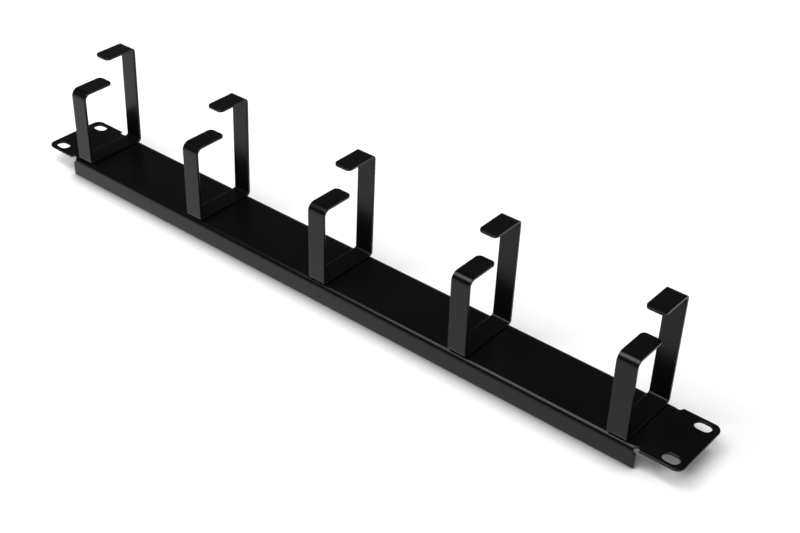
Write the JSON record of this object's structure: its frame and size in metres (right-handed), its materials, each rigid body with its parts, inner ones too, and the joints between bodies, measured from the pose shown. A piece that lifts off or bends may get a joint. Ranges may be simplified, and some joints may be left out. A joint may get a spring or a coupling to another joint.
{
  "type": "rack cable management panel",
  "caption": "Flat rack panel folded from one sheet, with slotted ears, edge flanges and open rings of bent strip that hold cables in front of it.",
  "frame": {"origin": "centre of the four screw slots, on the back face of the ears that meets the rack's rails", "axes": "+X along the panel, +Y from the short arms to the tall arms, +Z out of the face towards the rings"},
  "size_m": [0.4826, 0.0448, 0.0819],
  "materials": {
    "black_powder_coat": "semi-gloss black powder coat"
  },
  "bodies": {
    "root": {"panel": "black_powder_coat", "ring_1": "black_powder_coat", "ring_2": "black_powder_coat", "ring_3": "black_powder_coat", "ring_4": "black_powder_coat", "ring_5": "black_powder_coat"}
  },
  "joints": []
}
